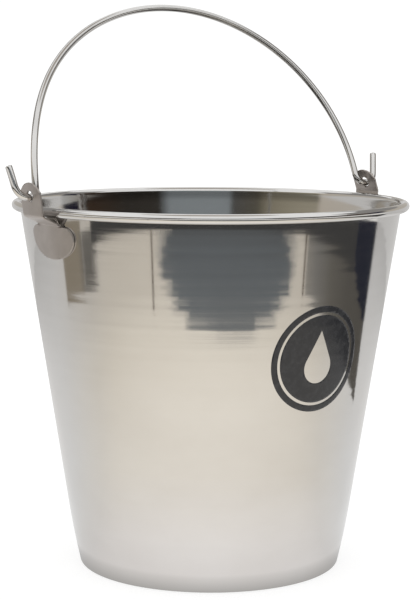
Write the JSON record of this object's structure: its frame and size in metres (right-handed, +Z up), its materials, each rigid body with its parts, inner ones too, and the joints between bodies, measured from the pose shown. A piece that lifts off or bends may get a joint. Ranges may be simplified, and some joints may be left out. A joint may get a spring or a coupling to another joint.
{
  "type": "milk pail",
  "caption": "Tapered stainless steel pail with a rolled rim, two welded ears and a swinging wire bail, for milk and other liquids.",
  "frame": {"origin": "middle of the base, on the floor", "axes": "+Z up; the bail's pivot axis runs along X through the two ears; the label faces -Y; at rest the bail leans back towards +Y"},
  "size_m": [0.3431, 0.292, 0.4141],
  "materials": {
    "polished_steel": "polished stainless sheet with fine lines running round it",
    "ear_steel": "satin stainless sheet",
    "wire_steel": "bright drawn stainless wire",
    "label_film": "black printed film, slight sheen"
  },
  "bodies": {
    "pail": {"pail_shell": "polished_steel", "left_ear": "ear_steel", "right_ear": "ear_steel", "label": "label_film"},
    "bail": {"bail": "wire_steel"}
  },
  "joints": [
    {"name": "bail_swing", "type": "hinge", "parent": "pail", "child": "bail", "pos_m": [0, 0, 0.27825], "axis": [1, 0, 0], "range_deg": [-68.5, 114.5]}
  ]
}
